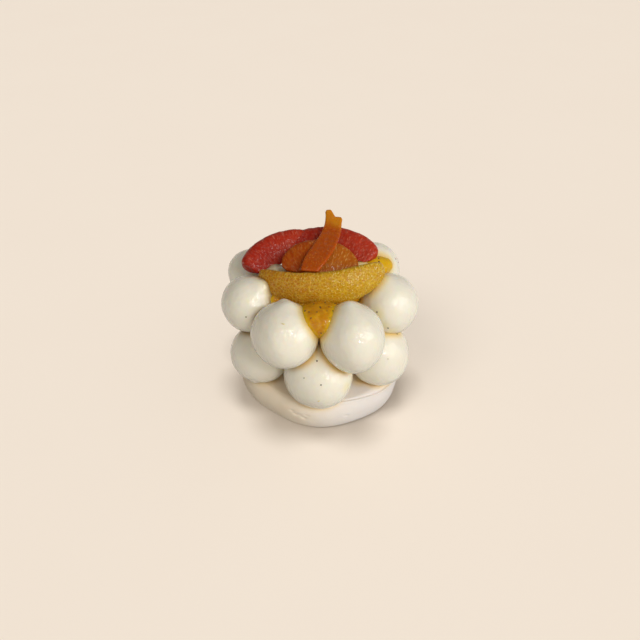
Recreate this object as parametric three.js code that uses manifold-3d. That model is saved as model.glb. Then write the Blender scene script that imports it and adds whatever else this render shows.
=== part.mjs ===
// An individual pavlova: a round meringue, two tiers of piped vanilla cream, a citrus gel that fills
// the middle and runs out between the cream, and citrus segments with a strip of candied peel on top.
//
// Millimetres, +Z up. The origin is the middle of the flat underside, and the front, where the gel
// runs down between two dollops of cream, faces -Y.

import * as THREE from "three";
import { mergeVertices } from "three/addons/utils/BufferGeometryUtils.js";
import Module from "manifold-3d";

const wasm = await Module();
wasm.setup();

// ---------------------------------------------------------------------------------------------
// Driving dimensions
// ---------------------------------------------------------------------------------------------

const CLEARANCE = 0.3; // between pieces that touch
const WELD = 1e-4; // vertices closer than this are one
const FRONT = -90; // degrees from +X

// Meringue: a disc whose rim bulges between a flat underside and a flat top.
const BASE_RADIUS = 38;
const BASE_FOOT_RADIUS = 35.4;
const BASE_SHOULDER_RADIUS = 33.5;
const BASE_HEIGHT = 13;
const BASE_WAVES = [
  { count: 2, height: 0.012, phase: 0.6 }, // height as a share of the radius
  { count: 3, height: 0.011, phase: -0.4 },
  { count: 7, height: 0.006, phase: 0 },
];
const BASE_BULGES = [
  { bearing: -41, width: 22, height: -0.055 }, // degrees from the front towards +X
  { bearing: 50, width: 18, height: 0.022 },
];

// Cream: balls piped in two tiers. A bearing is in degrees from the front towards +X, a ring is the
// distance of a ball's middle from the Z axis, and a size holds half-widths outwards, sideways and up.
const LOWER_TIER_Z = 25;
const LOWER_TIER = [
  { bearing: -1, ring: 29.4, size: [14.6, 15.0, 14.4] },
  { bearing: 62, ring: 30.2, size: [13.4, 14.8, 15.0] },
  { bearing: 119, ring: 31.0, size: [14.2, 14.8, 14.2] },
  { bearing: 179, ring: 30.4, size: [14.4, 15.6, 14.0] },
  { bearing: -121, ring: 31.0, size: [13.8, 15.0, 13.8] },
  { bearing: -63, ring: 30.0, size: [13.4, 13.8, 13.8] },
];
const UPPER_TIER_Z = 47;
const UPPER_TIER = [
  { bearing: -27, ring: 32.4, size: [14.4, 14.6, 14.0] },
  { bearing: 23.5, ring: 33.4, size: [15.2, 13.6, 15.0] },
  { bearing: 78, ring: 31.0, size: [13.4, 13.6, 13.6] },
  { bearing: 128, ring: 32.2, size: [12.4, 12.4, 13.8], raised: 0.8 },
  { bearing: -178, ring: 30.5, size: [14.4, 16.0, 12.4] },
  { bearing: -123, ring: 36.4, size: [13.2, 13.4, 10.4], raised: -1.4 },
  { bearing: -78, ring: 31.4, size: [13.3, 13.2, 12.4] },
];
const DOLLOP_TIP = 0.08; // height of the peak left by the nozzle, as a share of the radius
const DOLLOP_TIP_SPREAD = 0.28; // radians
const DOLLOP_NOD = 14; // degrees that each peak leans towards the middle
const DOLLOP_UNEVENNESS = 0.018; // as a share of the radius
const DOLLOP_VARIETY = 1.7; // radians that the unevenness turns from one dollop to the next

// Cream behind the dollops: a column with a rounded top.
const CORE_RADIUS = 21;
const CORE_TOP = 52.5;
const CORE_ROUNDING = 5;

// Gel: rounded lumps. Fall is the slope towards -Y, and narrowing the share of its width that a
// lump loses on the way to its -Y end.
const GEL_LUMPS = {
  pool: { middle: [0, 0, 52], halves: [19.5, 19.5, 8.5] },
  run: { middle: [0.4, -24.3, 51.6], halves: [12.2, 11.5, 7.6], fall: -26.6, narrowing: -0.22 },
  rightLobe: { middle: [23.5, 9.0, 56.2], halves: [9.8, 6.0, 4.8], heading: 16 },
  leftLobe: { middle: [-16.8, -9.0, 51.5], halves: [7.0, 4.0, 4.0], heading: 28 },
};

// Citrus segments: a bend is the radius of the arc that a segment follows, and a twist turns its
// wedge in that arc. A wedge loses the share thinning of its width towards the inner edge, and is
// fullest at that share of its half-width. Low flatness makes the faces flat, and low bluntness
// fills out the -X and the +X end.
const SEGMENTS = {
  yellow: {
    length: 53.2, depth: 13.5, thickness: 16, bend: 40, twist: 18.3, bluntness: [0.73, 0.62],
    thinning: 0.42, fullest: 0.69, flatness: 1,
  },
  orange: {
    length: 32, depth: 18.2, thickness: 7.6, bend: 26, twist: 0, bluntness: [1.2, 1.1],
    thinning: 0.15, fullest: 0.86, flatness: 0.55,
  },
  leftRuby: {
    length: 30.2, depth: 15.5, thickness: 9.4, bend: 31, twist: 0, bluntness: [0.37, 0.25],
    thinning: 0.42, fullest: 0.69, flatness: 1,
  },
  rightRuby: {
    length: 36.4, depth: 15.3, thickness: 8.6, bend: 28.5, twist: 0, bluntness: [0.25, 0.48],
    thinning: 0.42, fullest: 0.69, flatness: 1,
  },
};
const SEGMENT_PLACES = {
  yellow: { at: [0.2, -11.4, 59.3], heading: 178.2, lean: -10, roll: 7 },
  orange: { at: [0.0, 1.6, 65.4], lean: 24, roll: 5 },
  leftRuby: { at: [-20, 12.4, 63.1], heading: 33, lean: 17, roll: -10 },
  rightRuby: { at: [6.9, 16.8, 64.7], heading: -10.3, lean: 16, roll: 3 },
};

// Candied peel: a strip that lies over the orange segment and stands free behind it.
const PEEL_WIDTHS = [7.6, 10.2, 8.6, 7.8]; // at equal steps from the foot to the free end
const PEEL_THICKNESS = 1.7;
const PEEL_NOTCH = 3.4; // depth of the notch in the free end
const PEEL_NOTCH_FROM = -0.45; // across the strip, whose edges are at -1 and 1
const PEEL_NOTCH_TO = 0.25;
const PEEL_NOTCH_ROOT = 0.6; // share of the length at which the faces start to bend round the notch
const PEEL_LINE = new THREE.CatmullRomCurve3([
  new THREE.Vector3(-4.9, -11.8, 66.8),
  new THREE.Vector3(0, -1.5, 70.3),
  new THREE.Vector3(4.9, 11.6, 72.7),
  new THREE.Vector3(6.2, 22.6, 78.3),
]);
const PEEL_WIDTH = new THREE.SplineCurve(PEEL_WIDTHS.map((width, i) => new THREE.Vector2(i, width)));

// Facets: around and along, or around and from pole to pole.
const BASE_FACETS = [38, 7];
const DOLLOP_FACETS = [17, 11];
const CORE_FACETS = [26, 3];
const GEL_FACETS = [16, 10];
const SEGMENT_FACETS = [14, 18];
const PEEL_FACETS = [6, 12];

// ---------------------------------------------------------------------------------------------
// Finishes
// ---------------------------------------------------------------------------------------------

const FINISHES = {
  meringue: { color: 0xefe3d8, roughness: 0.8 },
  cream: { color: 0xf1ead0, roughness: 0.42 },
  gel: { color: 0xdc9410, roughness: 0.2 },
  yellowCitrus: { color: 0xd9a21c, roughness: 0.22 },
  orangeCitrus: { color: 0xa9581c, roughness: 0.2 },
  rubyCitrus: { color: 0xb12a20, roughness: 0.22 },
  candiedPeel: { color: 0xb25a12, roughness: 0.28 },
};

/** A new material of the named finish. */
function finish(name) {
  return new THREE.MeshStandardMaterial({ ...FINISHES[name], metalness: 0 });
}

// ---------------------------------------------------------------------------------------------
// Solids, placing and cutting
// ---------------------------------------------------------------------------------------------

/** The geometry without seams: position only, and shared vertices merged. */
function welded(geometry) {
  const bare = geometry.clone();
  bare.deleteAttribute("normal");
  bare.deleteAttribute("uv");
  return mergeVertices(bare, WELD);
}

/** A geometry, moved by a matrix, as a solid that can be joined and cut. */
function solidOf(geometry, matrix) {
  const closed = welded(geometry).applyMatrix4(matrix);
  return new wasm.Manifold(
    new wasm.Mesh({
      numProp: 3,
      vertProperties: new Float32Array(closed.attributes.position.array),
      triVerts: new Uint32Array(closed.index.array),
    }),
  );
}

/** A joined or cut solid as a geometry again. */
function geometryOf(solid) {
  const mesh = solid.getMesh();
  const geometry = new THREE.BufferGeometry();
  geometry.setAttribute("position", new THREE.BufferAttribute(mesh.vertProperties, 3));
  geometry.setIndex(new THREE.BufferAttribute(mesh.triVerts, 1));
  geometry.computeVertexNormals();
  return geometry;
}

/** Moves every vertex of a geometry to where a function of it says. */
function reshaped(geometry, move) {
  const position = geometry.attributes.position;
  const point = new THREE.Vector3();
  for (let i = 0; i < position.count; i += 1) {
    point.fromBufferAttribute(position, i);
    move(point);
    position.setXYZ(i, point.x, point.y, point.z);
  }
  return welded(geometry);
}

/** A body turned about +Z from a profile of radius and height. */
function turned(profile, facets) {
  return new THREE.LatheGeometry(profile, facets).rotateX(Math.PI / 2);
}

/** A ball of radius 1 with its poles on Z. */
function unitBall([around, poleToPole]) {
  return new THREE.SphereGeometry(1, around, poleToPole).rotateX(Math.PI / 2);
}

/** Degrees in radians. */
const rad = THREE.MathUtils.degToRad;

/** The heading, in degrees from +X, of a bearing from the front. */
function headingOf(bearing) {
  return FRONT + bearing;
}

/**
 * A named piece. Its form is a function of how much larger it is built, so that the same form,
 * larger by the clearance, cuts its neighbours. Heading turns it about +Z, after lean has turned
 * it about its own length and roll has raised one of its ends.
 */
function piece(name, finishName, form, { at = [0, 0, 0], heading = 0, lean = 0, roll = 0 } = {}) {
  const mesh = new THREE.Mesh(form(0), finish(finishName));
  mesh.name = name;
  mesh.position.set(...at);
  mesh.rotation.set(rad(lean), rad(roll), rad(heading), "ZXY");
  mesh.updateMatrixWorld();
  mesh.userData.form = form;
  return mesh;
}

/** Cuts a piece by its neighbours, each larger by the clearance. */
function carve(mesh, neighbours) {
  const toLocal = mesh.matrixWorld.clone().invert();
  let body = solidOf(mesh.geometry, new THREE.Matrix4());
  for (const neighbour of neighbours) {
    const toMesh = toLocal.clone().multiply(neighbour.matrixWorld);
    body = body.subtract(solidOf(neighbour.userData.form(CLEARANCE), toMesh));
  }
  mesh.geometry = geometryOf(body);
}

// ---------------------------------------------------------------------------------------------
// Meringue
// ---------------------------------------------------------------------------------------------

/** A flat-bottomed disc with a soft bulging rim, a little out of round. */
function meringueForm(grow) {
  const [around, rimSteps] = BASE_FACETS;
  const halfHeight = BASE_HEIGHT / 2;
  const profile = [new THREE.Vector2(0, -grow)];
  for (let i = 0; i <= rimSteps; i += 1) {
    const angle = -Math.PI / 2 + (Math.PI * i) / rimSteps;
    const inner = angle < 0 ? BASE_FOOT_RADIUS : BASE_SHOULDER_RADIUS;
    const radius = inner + (BASE_RADIUS - inner) * Math.cos(angle) + grow;
    profile.push(new THREE.Vector2(radius, halfHeight + (halfHeight + grow) * Math.sin(angle)));
  }
  profile.push(new THREE.Vector2(0, BASE_HEIGHT + grow));
  return reshaped(turned(profile, around), (point) => {
    const angle = Math.atan2(point.y, point.x);
    let swell = 1;
    for (const { count, height, phase } of BASE_WAVES) {
      swell += height * Math.sin(count * angle + phase);
    }
    for (const { bearing, width, height } of BASE_BULGES) {
      const offset = angle - rad(headingOf(bearing));
      const away = Math.atan2(Math.sin(offset), Math.cos(offset));
      swell += height * Math.exp(-((away / rad(width)) ** 2));
    }
    point.x *= swell;
    point.y *= swell;
  });
}

// ---------------------------------------------------------------------------------------------
// Cream
// ---------------------------------------------------------------------------------------------

/** A piped dollop: an uneven ball with a small peak on its own +Z axis. */
function dollopForm([outward, sideways, up], variety) {
  return (grow) =>
    reshaped(unitBall(DOLLOP_FACETS), (point) => {
      const fromTip = Math.acos(THREE.MathUtils.clamp(point.z, -1, 1));
      const around = Math.atan2(point.y, point.x);
      const peak = DOLLOP_TIP * Math.exp(-((fromTip / DOLLOP_TIP_SPREAD) ** 2));
      const lobes = Math.sin(2 * around + variety) + Math.sin(3 * around - 2 * variety);
      const uneven = DOLLOP_UNEVENNESS * lobes * Math.sin(fromTip) ** 2;
      const swell = 1 + peak + uneven;
      point.x *= (outward + grow) * swell;
      point.y *= (sideways + grow) * swell;
      point.z *= (up + grow) * swell;
    });
}

/** The dollops of one tier, numbered from the front and on round by +X. */
function tier(prefix, dollops, middleZ) {
  return dollops.map(({ bearing, ring, size, raised = 0 }, i) => {
    const heading = headingOf(bearing);
    const at = [ring * Math.cos(rad(heading)), ring * Math.sin(rad(heading)), middleZ + raised];
    const form = dollopForm(size, DOLLOP_VARIETY * i);
    return piece(`${prefix}_${i + 1}`, "cream", form, { at, heading, roll: -DOLLOP_NOD });
  });
}

/** The cream behind the dollops: a straight-sided column with a rounded top. */
function coreForm(grow) {
  const [around, roundingSteps] = CORE_FACETS;
  const bottom = BASE_HEIGHT + CLEARANCE - grow;
  const corner = CORE_ROUNDING + grow;
  const profile = [new THREE.Vector2(0, bottom), new THREE.Vector2(CORE_RADIUS + grow, bottom)];
  for (let i = 0; i <= roundingSteps; i += 1) {
    const angle = (Math.PI / 2) * (i / roundingSteps);
    const radius = CORE_RADIUS - CORE_ROUNDING + corner * Math.cos(angle);
    profile.push(new THREE.Vector2(radius, CORE_TOP - CORE_ROUNDING + corner * Math.sin(angle)));
  }
  profile.push(new THREE.Vector2(0, CORE_TOP + grow));
  return welded(turned(profile, around));
}

// ---------------------------------------------------------------------------------------------
// Gel
// ---------------------------------------------------------------------------------------------

/** One rounded lump of gel as a solid. */
function gelLump({ middle, halves, heading = 0, fall = 0, narrowing = 0 }, grow) {
  const drop = reshaped(unitBall(GEL_FACETS), (point) => {
    point.x *= 1 + narrowing * point.y;
  });
  const place = new THREE.Matrix4().compose(
    new THREE.Vector3(...middle),
    new THREE.Quaternion().setFromEuler(new THREE.Euler(rad(fall), 0, rad(heading), "ZXY")),
    new THREE.Vector3(...halves.map((half) => half + grow)),
  );
  return solidOf(drop, place);
}

/** The gel: a pool with a run down the front and lobes that push out between the dollops. */
function gelForm(grow) {
  const lumps = Object.values(GEL_LUMPS).map((lump) => gelLump(lump, grow));
  return geometryOf(lumps.reduce((gel, lump) => gel.add(lump)));
}

// ---------------------------------------------------------------------------------------------
// Citrus
// ---------------------------------------------------------------------------------------------

/**
 * A citrus segment along its own X: it bends in an arc whose rounded back faces +Y, its section
 * is a wedge that thins to the inner edge at -Y, and its ends close to rounded tips.
 */
function segmentForm({ length, depth, thickness, bend, twist, bluntness, thinning, fullest, flatness }) {
  const [around, endToEnd] = SEGMENT_FACETS;
  const upright = Math.cos(rad(twist));
  const tilted = Math.sin(rad(twist));
  return (grow) => {
    const ball = new THREE.SphereGeometry(1, around, endToEnd).rotateZ(-Math.PI / 2);
    const halfArc = Math.asin(length / 2 / bend) * (1 + grow / (length / 2));
    return reshaped(ball, (point) => {
      const along = THREE.MathUtils.clamp(point.x, -1, 1);
      const round = Math.hypot(point.y, point.z);
      const fill = round < WELD ? 0 : round ** bluntness[along < 0 ? 0 : 1];
      const angle = Math.atan2(point.z, point.y);
      const wedge = (1 - thinning + thinning * Math.cos(angle)) / fullest;
      const side = Math.sign(Math.sin(angle)) * Math.abs(Math.sin(angle)) ** flatness;
      const outward = (depth / 2 + grow) * Math.cos(angle) * fill;
      const across = (thickness / 2 + grow) * side * wedge * fill;
      const reach = bend + outward * upright - across * tilted;
      point.x = reach * Math.sin(along * halfArc);
      point.y = reach * Math.cos(along * halfArc) - bend;
      point.z = outward * tilted + across * upright;
    });
  };
}

/** One named segment in its place. */
function segment(name, finishName, key) {
  return piece(name, finishName, segmentForm(SEGMENTS[key]), SEGMENT_PLACES[key]);
}

// ---------------------------------------------------------------------------------------------
// Candied peel
// ---------------------------------------------------------------------------------------------

/** A strip bent along its line, with a notch cut into its free end. */
function peelForm(grow) {
  const [acrossSteps, alongSteps] = PEEL_FACETS;
  const strip = new THREE.BoxGeometry(1, 1, 1, acrossSteps, 1, alongSteps);
  const up = new THREE.Vector3(0, 0, 1);
  const across = new THREE.Vector3();
  const outward = new THREE.Vector3();
  const length = PEEL_LINE.getLength();
  return reshaped(strip, (point) => {
    const side = point.x * 2;
    const face = point.y * 2;
    const share = THREE.MathUtils.clamp(point.z + 0.5, 0, 1);
    const notch = PEEL_NOTCH * THREE.MathUtils.smoothstep(side, PEEL_NOTCH_FROM, PEEL_NOTCH_TO);
    const cut = (notch / length) * THREE.MathUtils.smoothstep(share, PEEL_NOTCH_ROOT, 1);
    const place = PEEL_LINE.getPointAt(share - cut);
    const tangent = PEEL_LINE.getTangentAt(share - cut);
    across.crossVectors(tangent, up).normalize();
    outward.crossVectors(tangent, across);
    place.addScaledVector(across, side * (PEEL_WIDTH.getPoint(share).y / 2 + grow));
    place.addScaledVector(outward, face * (PEEL_THICKNESS / 2 + grow));
    const end = share > 1 - WELD ? grow : share < WELD ? -grow : 0;
    point.copy(place.addScaledVector(tangent, end));
  });
}

// ---------------------------------------------------------------------------------------------
// The pavlova
// ---------------------------------------------------------------------------------------------

const base = piece("meringue_base", "meringue", meringueForm);
const lower = tier("cream_lower", LOWER_TIER, LOWER_TIER_Z);
const upper = tier("cream_upper", UPPER_TIER, UPPER_TIER_Z);
const core = piece("cream_core", "cream", coreForm);
const gel = piece("citrus_gel", "gel", gelForm);
const yellow = segment("yellow_segment", "yellowCitrus", "yellow");
const orange = segment("orange_segment", "orangeCitrus", "orange");
const leftRuby = segment("ruby_segment_left", "rubyCitrus", "leftRuby");
const rightRuby = segment("ruby_segment_right", "rubyCitrus", "rightRuby");
const peel = piece("candied_peel", "candiedPeel", peelForm);
const fruit = [yellow, orange, leftRuby, rightRuby, peel];

/** Cuts each dollop of a tier by the ones nearer the front, which press into it, and by others. */
function carveTier(dollops, others) {
  const frontFirst = [...dollops].sort((a, b) => a.position.y - b.position.y);
  frontFirst.forEach((ball, i) => carve(ball, [...frontFirst.slice(0, i), ...others]));
}

// What was laid down last keeps its form, and presses into the softer pieces under and beside it.
carve(yellow, [peel]);
carve(orange, [yellow, peel]);
carve(rightRuby, [yellow, orange, peel]);
carve(leftRuby, [yellow, orange, rightRuby, peel]);
carveTier(upper, [gel, ...fruit]);
carveTier(lower, [...upper, base]);
carve(gel, fruit);
carve(core, [base, ...lower, ...upper, gel]);

const pavlova = new THREE.Group();
pavlova.add(base, ...lower, ...upper, core, gel, ...fruit);

export default pavlova;
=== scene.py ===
"""The looks of an individual pavlova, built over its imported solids.

Everything is in metres, with +Z up and the front facing -Y, as in the solids. Each sub-assembly is a
class that holds its sizes and builds its own pieces: the meringue, the piped cream, the gel, the citrus
segments, the candied peel, and the seeds and threads. The studio is a floor, soft lights and a camera.
"""

import logging
import math
from collections.abc import Sequence
from dataclasses import dataclass
from enum import Enum

import bpy
import numpy as np
from mathutils import Matrix, Vector
from mathutils.bvhtree import BVHTree


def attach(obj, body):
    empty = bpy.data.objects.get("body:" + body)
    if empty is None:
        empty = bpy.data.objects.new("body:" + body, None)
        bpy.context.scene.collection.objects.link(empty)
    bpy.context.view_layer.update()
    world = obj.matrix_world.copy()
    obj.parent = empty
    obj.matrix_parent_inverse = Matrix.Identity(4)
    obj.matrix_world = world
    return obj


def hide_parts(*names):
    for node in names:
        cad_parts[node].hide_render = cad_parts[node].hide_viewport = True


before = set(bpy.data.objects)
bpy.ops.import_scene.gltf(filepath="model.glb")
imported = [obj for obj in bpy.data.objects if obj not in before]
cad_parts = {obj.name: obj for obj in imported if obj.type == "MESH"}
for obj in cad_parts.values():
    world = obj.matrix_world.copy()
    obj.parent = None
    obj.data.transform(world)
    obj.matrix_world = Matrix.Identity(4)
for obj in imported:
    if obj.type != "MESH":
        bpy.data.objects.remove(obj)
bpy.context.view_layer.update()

LOG = logging.getLogger("pavlova")
BODY = "root"
MM = 0.001

Piece = bpy.types.Object
Material = bpy.types.Material
Surfaces = dict[str, BVHTree]
Pair = tuple[float, float]
Triple = tuple[float, float, float]


class Slot(Enum):
    """The record's material slots."""

    MERINGUE = "meringue"
    CREAM = "cream"
    GEL = "gel"
    YELLOW = "yellow_citrus"
    ORANGE = "orange_citrus"
    RUBY = "ruby_citrus"
    PEEL = "candied_peel"


class Mark(Enum):
    """The attributes that a piece's finish reads from its mesh."""

    # Painted shade: the finishes darken and tint the crevices by this mark.
    CREVICE = "crevice"  # 1 where another piece touches, 0 a little way off
    STAIN = "stain"  # 1 where juice has run onto the cream
    SAC = "sac"  # place among the juice sacs, in metres
    THIN = "thin"  # 1 where the gel is thin, at its edges
    ALONG = "along"  # 0 at the peel's foot, 1 at its free end


# Node trees


class Field:
    """One output in a node tree, which can be added, scaled and passed on."""

    def __init__(self, graph: "Graph", socket: bpy.types.NodeSocket) -> None:
        """Holds the socket and the graph that it belongs to.

        Args:
            graph: the graph that it belongs to.
            socket: the output socket.
        """
        self.graph = graph
        self.socket = socket
        self.is_vector = socket.type == "VECTOR"

    def __add__(self, other: "Value") -> "Field":
        """The sum."""
        return self.graph.reckon("ADD", self, other)

    def __sub__(self, other: "Value") -> "Field":
        """The difference."""
        return self.graph.reckon("SUBTRACT", self, other)

    def __rsub__(self, other: "Value") -> "Field":
        """The difference from a plain value."""
        return self.graph.reckon("SUBTRACT", other, self)

    def __mul__(self, other: "Value") -> "Field":
        """The product, component by component."""
        return self.graph.reckon("MULTIPLY", self, other)

    def __truediv__(self, other: "Value") -> "Field":
        """The quotient, component by component."""
        return self.graph.reckon("DIVIDE", self, other)

    def __pow__(self, other: float) -> "Field":
        """The power."""
        return self.graph.reckon("POWER", self, other)

    __radd__ = __add__

    def split(self) -> list["Field"]:
        """The three components of a vector."""
        node = self.graph.node("ShaderNodeSeparateXYZ", {0: self})
        return [Field(self.graph, output) for output in node.outputs]


Value = Field | float | int | tuple


class Graph:
    """A node tree that is written as fields."""

    def __init__(self, tree: bpy.types.NodeTree) -> None:
        """Holds the tree."""
        self.tree = tree

    def feed(self, socket: bpy.types.NodeSocket, value: Value) -> None:
        """Links a field to a socket, or sets the socket to a plain value or an opaque colour.

        Args:
            socket: an input socket.
            value: what it gets.
        """
        if isinstance(value, Field):
            self.tree.links.new(value.socket, socket)
        else:
            socket.default_value = (*value, 1.0) if socket.type == "RGBA" else value

    def node(self, kind: str, feeds: dict | None = None, **settings: object) -> bpy.types.Node:
        """Adds a node.

        Args:
            kind: Blender's name for the type of node.
            feeds: what goes into its inputs, by name or number.
            **settings: its own properties.

        Returns:
            The node.
        """
        node = self.tree.nodes.new(kind)
        for name, value in settings.items():
            setattr(node, name, value)
        for key, value in (feeds or {}).items():
            self.feed(node.inputs[key], value)
        return node

    def field(self, kind: str, feeds: dict | None = None, output: int | str = 0, **settings: object) -> Field:
        """Adds a node and gives one of its outputs."""
        return Field(self, self.node(kind, feeds, **settings).outputs[output])

    def reckon(self, operation: str, *values: Value) -> Field:
        """Arithmetic on numbers, or on vectors where one of the values is a vector.

        Args:
            operation: Blender's name for it.
            *values: the numbers, vectors or fields.

        Returns:
            The outcome.
        """
        if not any(v.is_vector if isinstance(v, Field) else isinstance(v, tuple) for v in values):
            return self.field("ShaderNodeMath", dict(enumerate(values)), operation=operation)
        triples = [v if isinstance(v, (Field, tuple)) else (v, v, v) for v in values]
        return self.field("ShaderNodeVectorMath", dict(enumerate(triples)), operation=operation)

    def step(self, value: Value, low: Value, high: Value) -> Field:
        """Rises smoothly from 0 to 1 from low to high, and falls where low is the higher."""
        feeds = {"Value": value, "From Min": low, "From Max": high}
        return self.field("ShaderNodeMapRange", feeds, interpolation_type="SMOOTHSTEP", clamp=True)

    def noise(self, place: Field, size: Value, detail: float = 2.0) -> Field:
        """Soft noise from 0 to 1 whose lumps are about as large as size."""
        feeds = {"Vector": place / size, "Scale": 1.0, "Detail": detail}
        return self.field("ShaderNodeTexNoise", feeds, "Fac")

    def cells(self, place: Field, size: Value, output: str = "Distance", **settings: object) -> Field:
        """A pattern of cells about as large as size."""
        return self.field("ShaderNodeTexVoronoi", {"Vector": place / size, "Scale": 1.0}, output, **settings)


class FormTree(Graph):
    """A Geometry Nodes tree with named inputs, which ends in real geometry with a material."""

    KINDS = {float: "Float", int: "Int", tuple: "Vector", Material: "Material"}

    def __init__(self, name: str, **kinds: type) -> None:
        """Makes the tree's inputs.

        Args:
            name: the tree's name.
            **kinds: the type of each named input.
        """
        super().__init__(bpy.data.node_groups.new(name, "GeometryNodeTree"))
        face = self.tree.interface
        for way in ("INPUT", "OUTPUT"):
            face.new_socket("Geometry", in_out=way, socket_type="NodeSocketGeometry")
        self.identifiers = {
            key: face.new_socket(key, in_out="INPUT", socket_type=f"NodeSocket{self.KINDS[kind]}").identifier
            for key, kind in {**kinds, "material": Material}.items()
        }
        self.given = self.tree.nodes.new("NodeGroupInput")
        self.place = self.field("GeometryNodeInputPosition")
        self.normal = self.field("GeometryNodeInputNormal")

    def input(self, name: str) -> Field:
        """One of the named inputs, or Geometry."""
        return Field(self, self.given.outputs[name])

    def moved(self, geometry: Field, **feeds: Value) -> Field:
        """The geometry with its points at a Position, or moved by an Offset."""
        return self.field("GeometryNodeSetPosition", {"Geometry": geometry, **feeds})

    def relief(self, geometry: Field, coarse: tuple[Value, Value], fine: tuple[Value, Value]) -> Field:
        """The geometry with soft lumps.

        Args:
            geometry: what is moved along its normals.
            coarse: height and size of the larger lumps.
            fine: height and size of the smaller ones.

        Returns:
            The uneven geometry.
        """
        lift: Value = 0.0
        for height, size in (coarse, fine):
            lift = (self.noise(self.place, size) - 0.5) * 2.0 * height + lift
        return self.moved(geometry, Offset=self.normal * lift)

    def close(self, geometry: Field) -> "FormTree":
        """Ends the tree in smooth, real geometry with the given material, and gives the tree.

        Args:
            geometry: what the tree has formed.

        Returns:
            The tree.
        """
        smooth = self.field("GeometryNodeSetShadeSmooth", {0: geometry})
        real = self.field("GeometryNodeRealizeInstances", {0: smooth})
        dressed = self.field("GeometryNodeSetMaterial", {0: real, "Material": self.input("material")})
        end = self.tree.nodes.new("NodeGroupOutput")
        self.feed(end.inputs["Geometry"], dressed)
        return self

    def make(self, piece: Piece, **values: object) -> Piece:
        """Runs the tree on an object and leaves the result as its plain mesh.

        Args:
            piece: the object, whose mesh is the tree's geometry.
            **values: what the named inputs are set to.

        Returns:
            The same object.
        """
        modifier = piece.modifiers.new(self.tree.name, "NODES")
        modifier.node_group = self.tree
        for name, value in values.items():
            modifier[self.identifiers[name]] = value
        return plain(piece)


def plain(piece: Piece) -> Piece:
    """Makes what an object's modifiers give its own plain mesh, and removes them.

    Args:
        piece: the object.

    Returns:
        The same object.
    """
    piece.update_tag()
    depsgraph = bpy.context.evaluated_depsgraph_get()
    depsgraph.update()
    evaluated = piece.evaluated_get(depsgraph)
    mesh = bpy.data.meshes.new_from_object(evaluated, preserve_all_data_layers=True, depsgraph=depsgraph)
    piece.modifiers.clear()
    piece.data = mesh
    return piece


# Finishes


class Shade(Graph):
    """A material round one Principled shader, patterned in the piece's own coordinates."""

    def __init__(self, name: str) -> None:
        """Makes the material.

        Args:
            name: the material's name.
        """
        self.material = bpy.data.materials.new(name)
        self.material.use_nodes = True
        super().__init__(self.material.node_tree)
        self.shader = self.tree.nodes["Principled BSDF"]
        self.place = self.field("ShaderNodeTexCoord", output="Object")

    def mark(self, mark: Mark, vector: bool = False) -> Field:
        """A mark that is stored in the mesh, as a number or a vector."""
        output = "Vector" if vector else "Fac"
        return self.field("ShaderNodeAttribute", output=output, attribute_name=mark.value)

    def blend(self, share: Value, first: Field | Triple, second: Field | Triple) -> Field:
        """A colour between two."""
        return self.field("ShaderNodeMix", {0: share, 6: first, 7: second}, 2, data_type="RGBA")

    def bump(self, height: Field, depth: float) -> Field:
        """A normal from a height from 0 to 1, which stands for a depth in millimetres."""
        return self.field("ShaderNodeBump", {"Height": height, "Distance": depth * MM, "Strength": 1.0})

    def grain(self, size: float, detail: float = 2.0) -> Field:
        """Soft noise over the piece whose lumps are about as many millimetres large as size."""
        return self.noise(self.place, size * MM, detail)

    def soften(self, weight: float, *radius: float) -> None:
        """Lets light into the piece, as many millimetres deep in red, green and blue as radius says."""
        depths = tuple(depth * MM for depth in radius)
        self.dress(Subsurface_Weight=weight, Subsurface_Radius=depths, Subsurface_Scale=1.0)

    def moisten(self, weight: Value, roughness: float, normal: Field) -> None:
        """Gives the piece a wet coat with a normal of its own."""
        self.dress(Coat_Weight=weight, Coat_Roughness=roughness, Coat_Normal=normal)

    def dress(self, **sockets: Value) -> Material:
        """Sets the shader's sockets, named with _ for a space, and gives the material.

        Args:
            **sockets: what goes into each socket.

        Returns:
            The material.
        """
        for key, value in sockets.items():
            self.feed(self.shader.inputs[key.replace("_", " ")], value)
        return self.material


@dataclass(frozen=True)
class MeringueFinish:
    """Dry baked meringue: pinkish white with a fine chalky skin, painted greyer and warmer towards its left
    side as shade and paler towards its right side as light.
    """

    # Painted light and shade: light is the colour of the lit right side, shade the colour of the shaded left
    # side.
    light: Triple = (0.745, 0.69, 0.655)
    shade: Triple = (0.86, 0.735, 0.575)
    # crease is the amber of real juice stains, and also the tint of the painted shade in the crevices.
    crease: Triple = (0.78, 0.58, 0.24)
    across: float = 24 * MM

    def material(self) -> Material:
        """Builds the material.

        Returns:
            The material.
        """
        shade = Shade("meringue")
        cloudy = (shade.grain(12, 3.0) - 0.5) * 0.6
        # Painted shade: the colour drifts from the lit colour on the right to the shaded colour on the left,
        # over the across distance.
        painted_shade_side = shade.step(shade.place.split()[0] / self.across + cloudy, 0.8, -0.8)
        colour = shade.blend(painted_shade_side, self.light, self.shade)
        colour = shade.blend(shade.mark(Mark.STAIN) * 0.7, colour, self.crease)
        # Painted shade: the meringue is tinted amber and darkened where other pieces are near.
        colour = shade.blend(shade.mark(Mark.CREVICE) ** 3.0 * 0.6, colour, self.crease)
        shade.soften(0.25, 2.2, 1.6, 1.1)
        return shade.dress(Base_Color=colour, Roughness=0.72, Normal=shade.bump(shade.grain(0.5, 4.0), 0.05))


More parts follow.
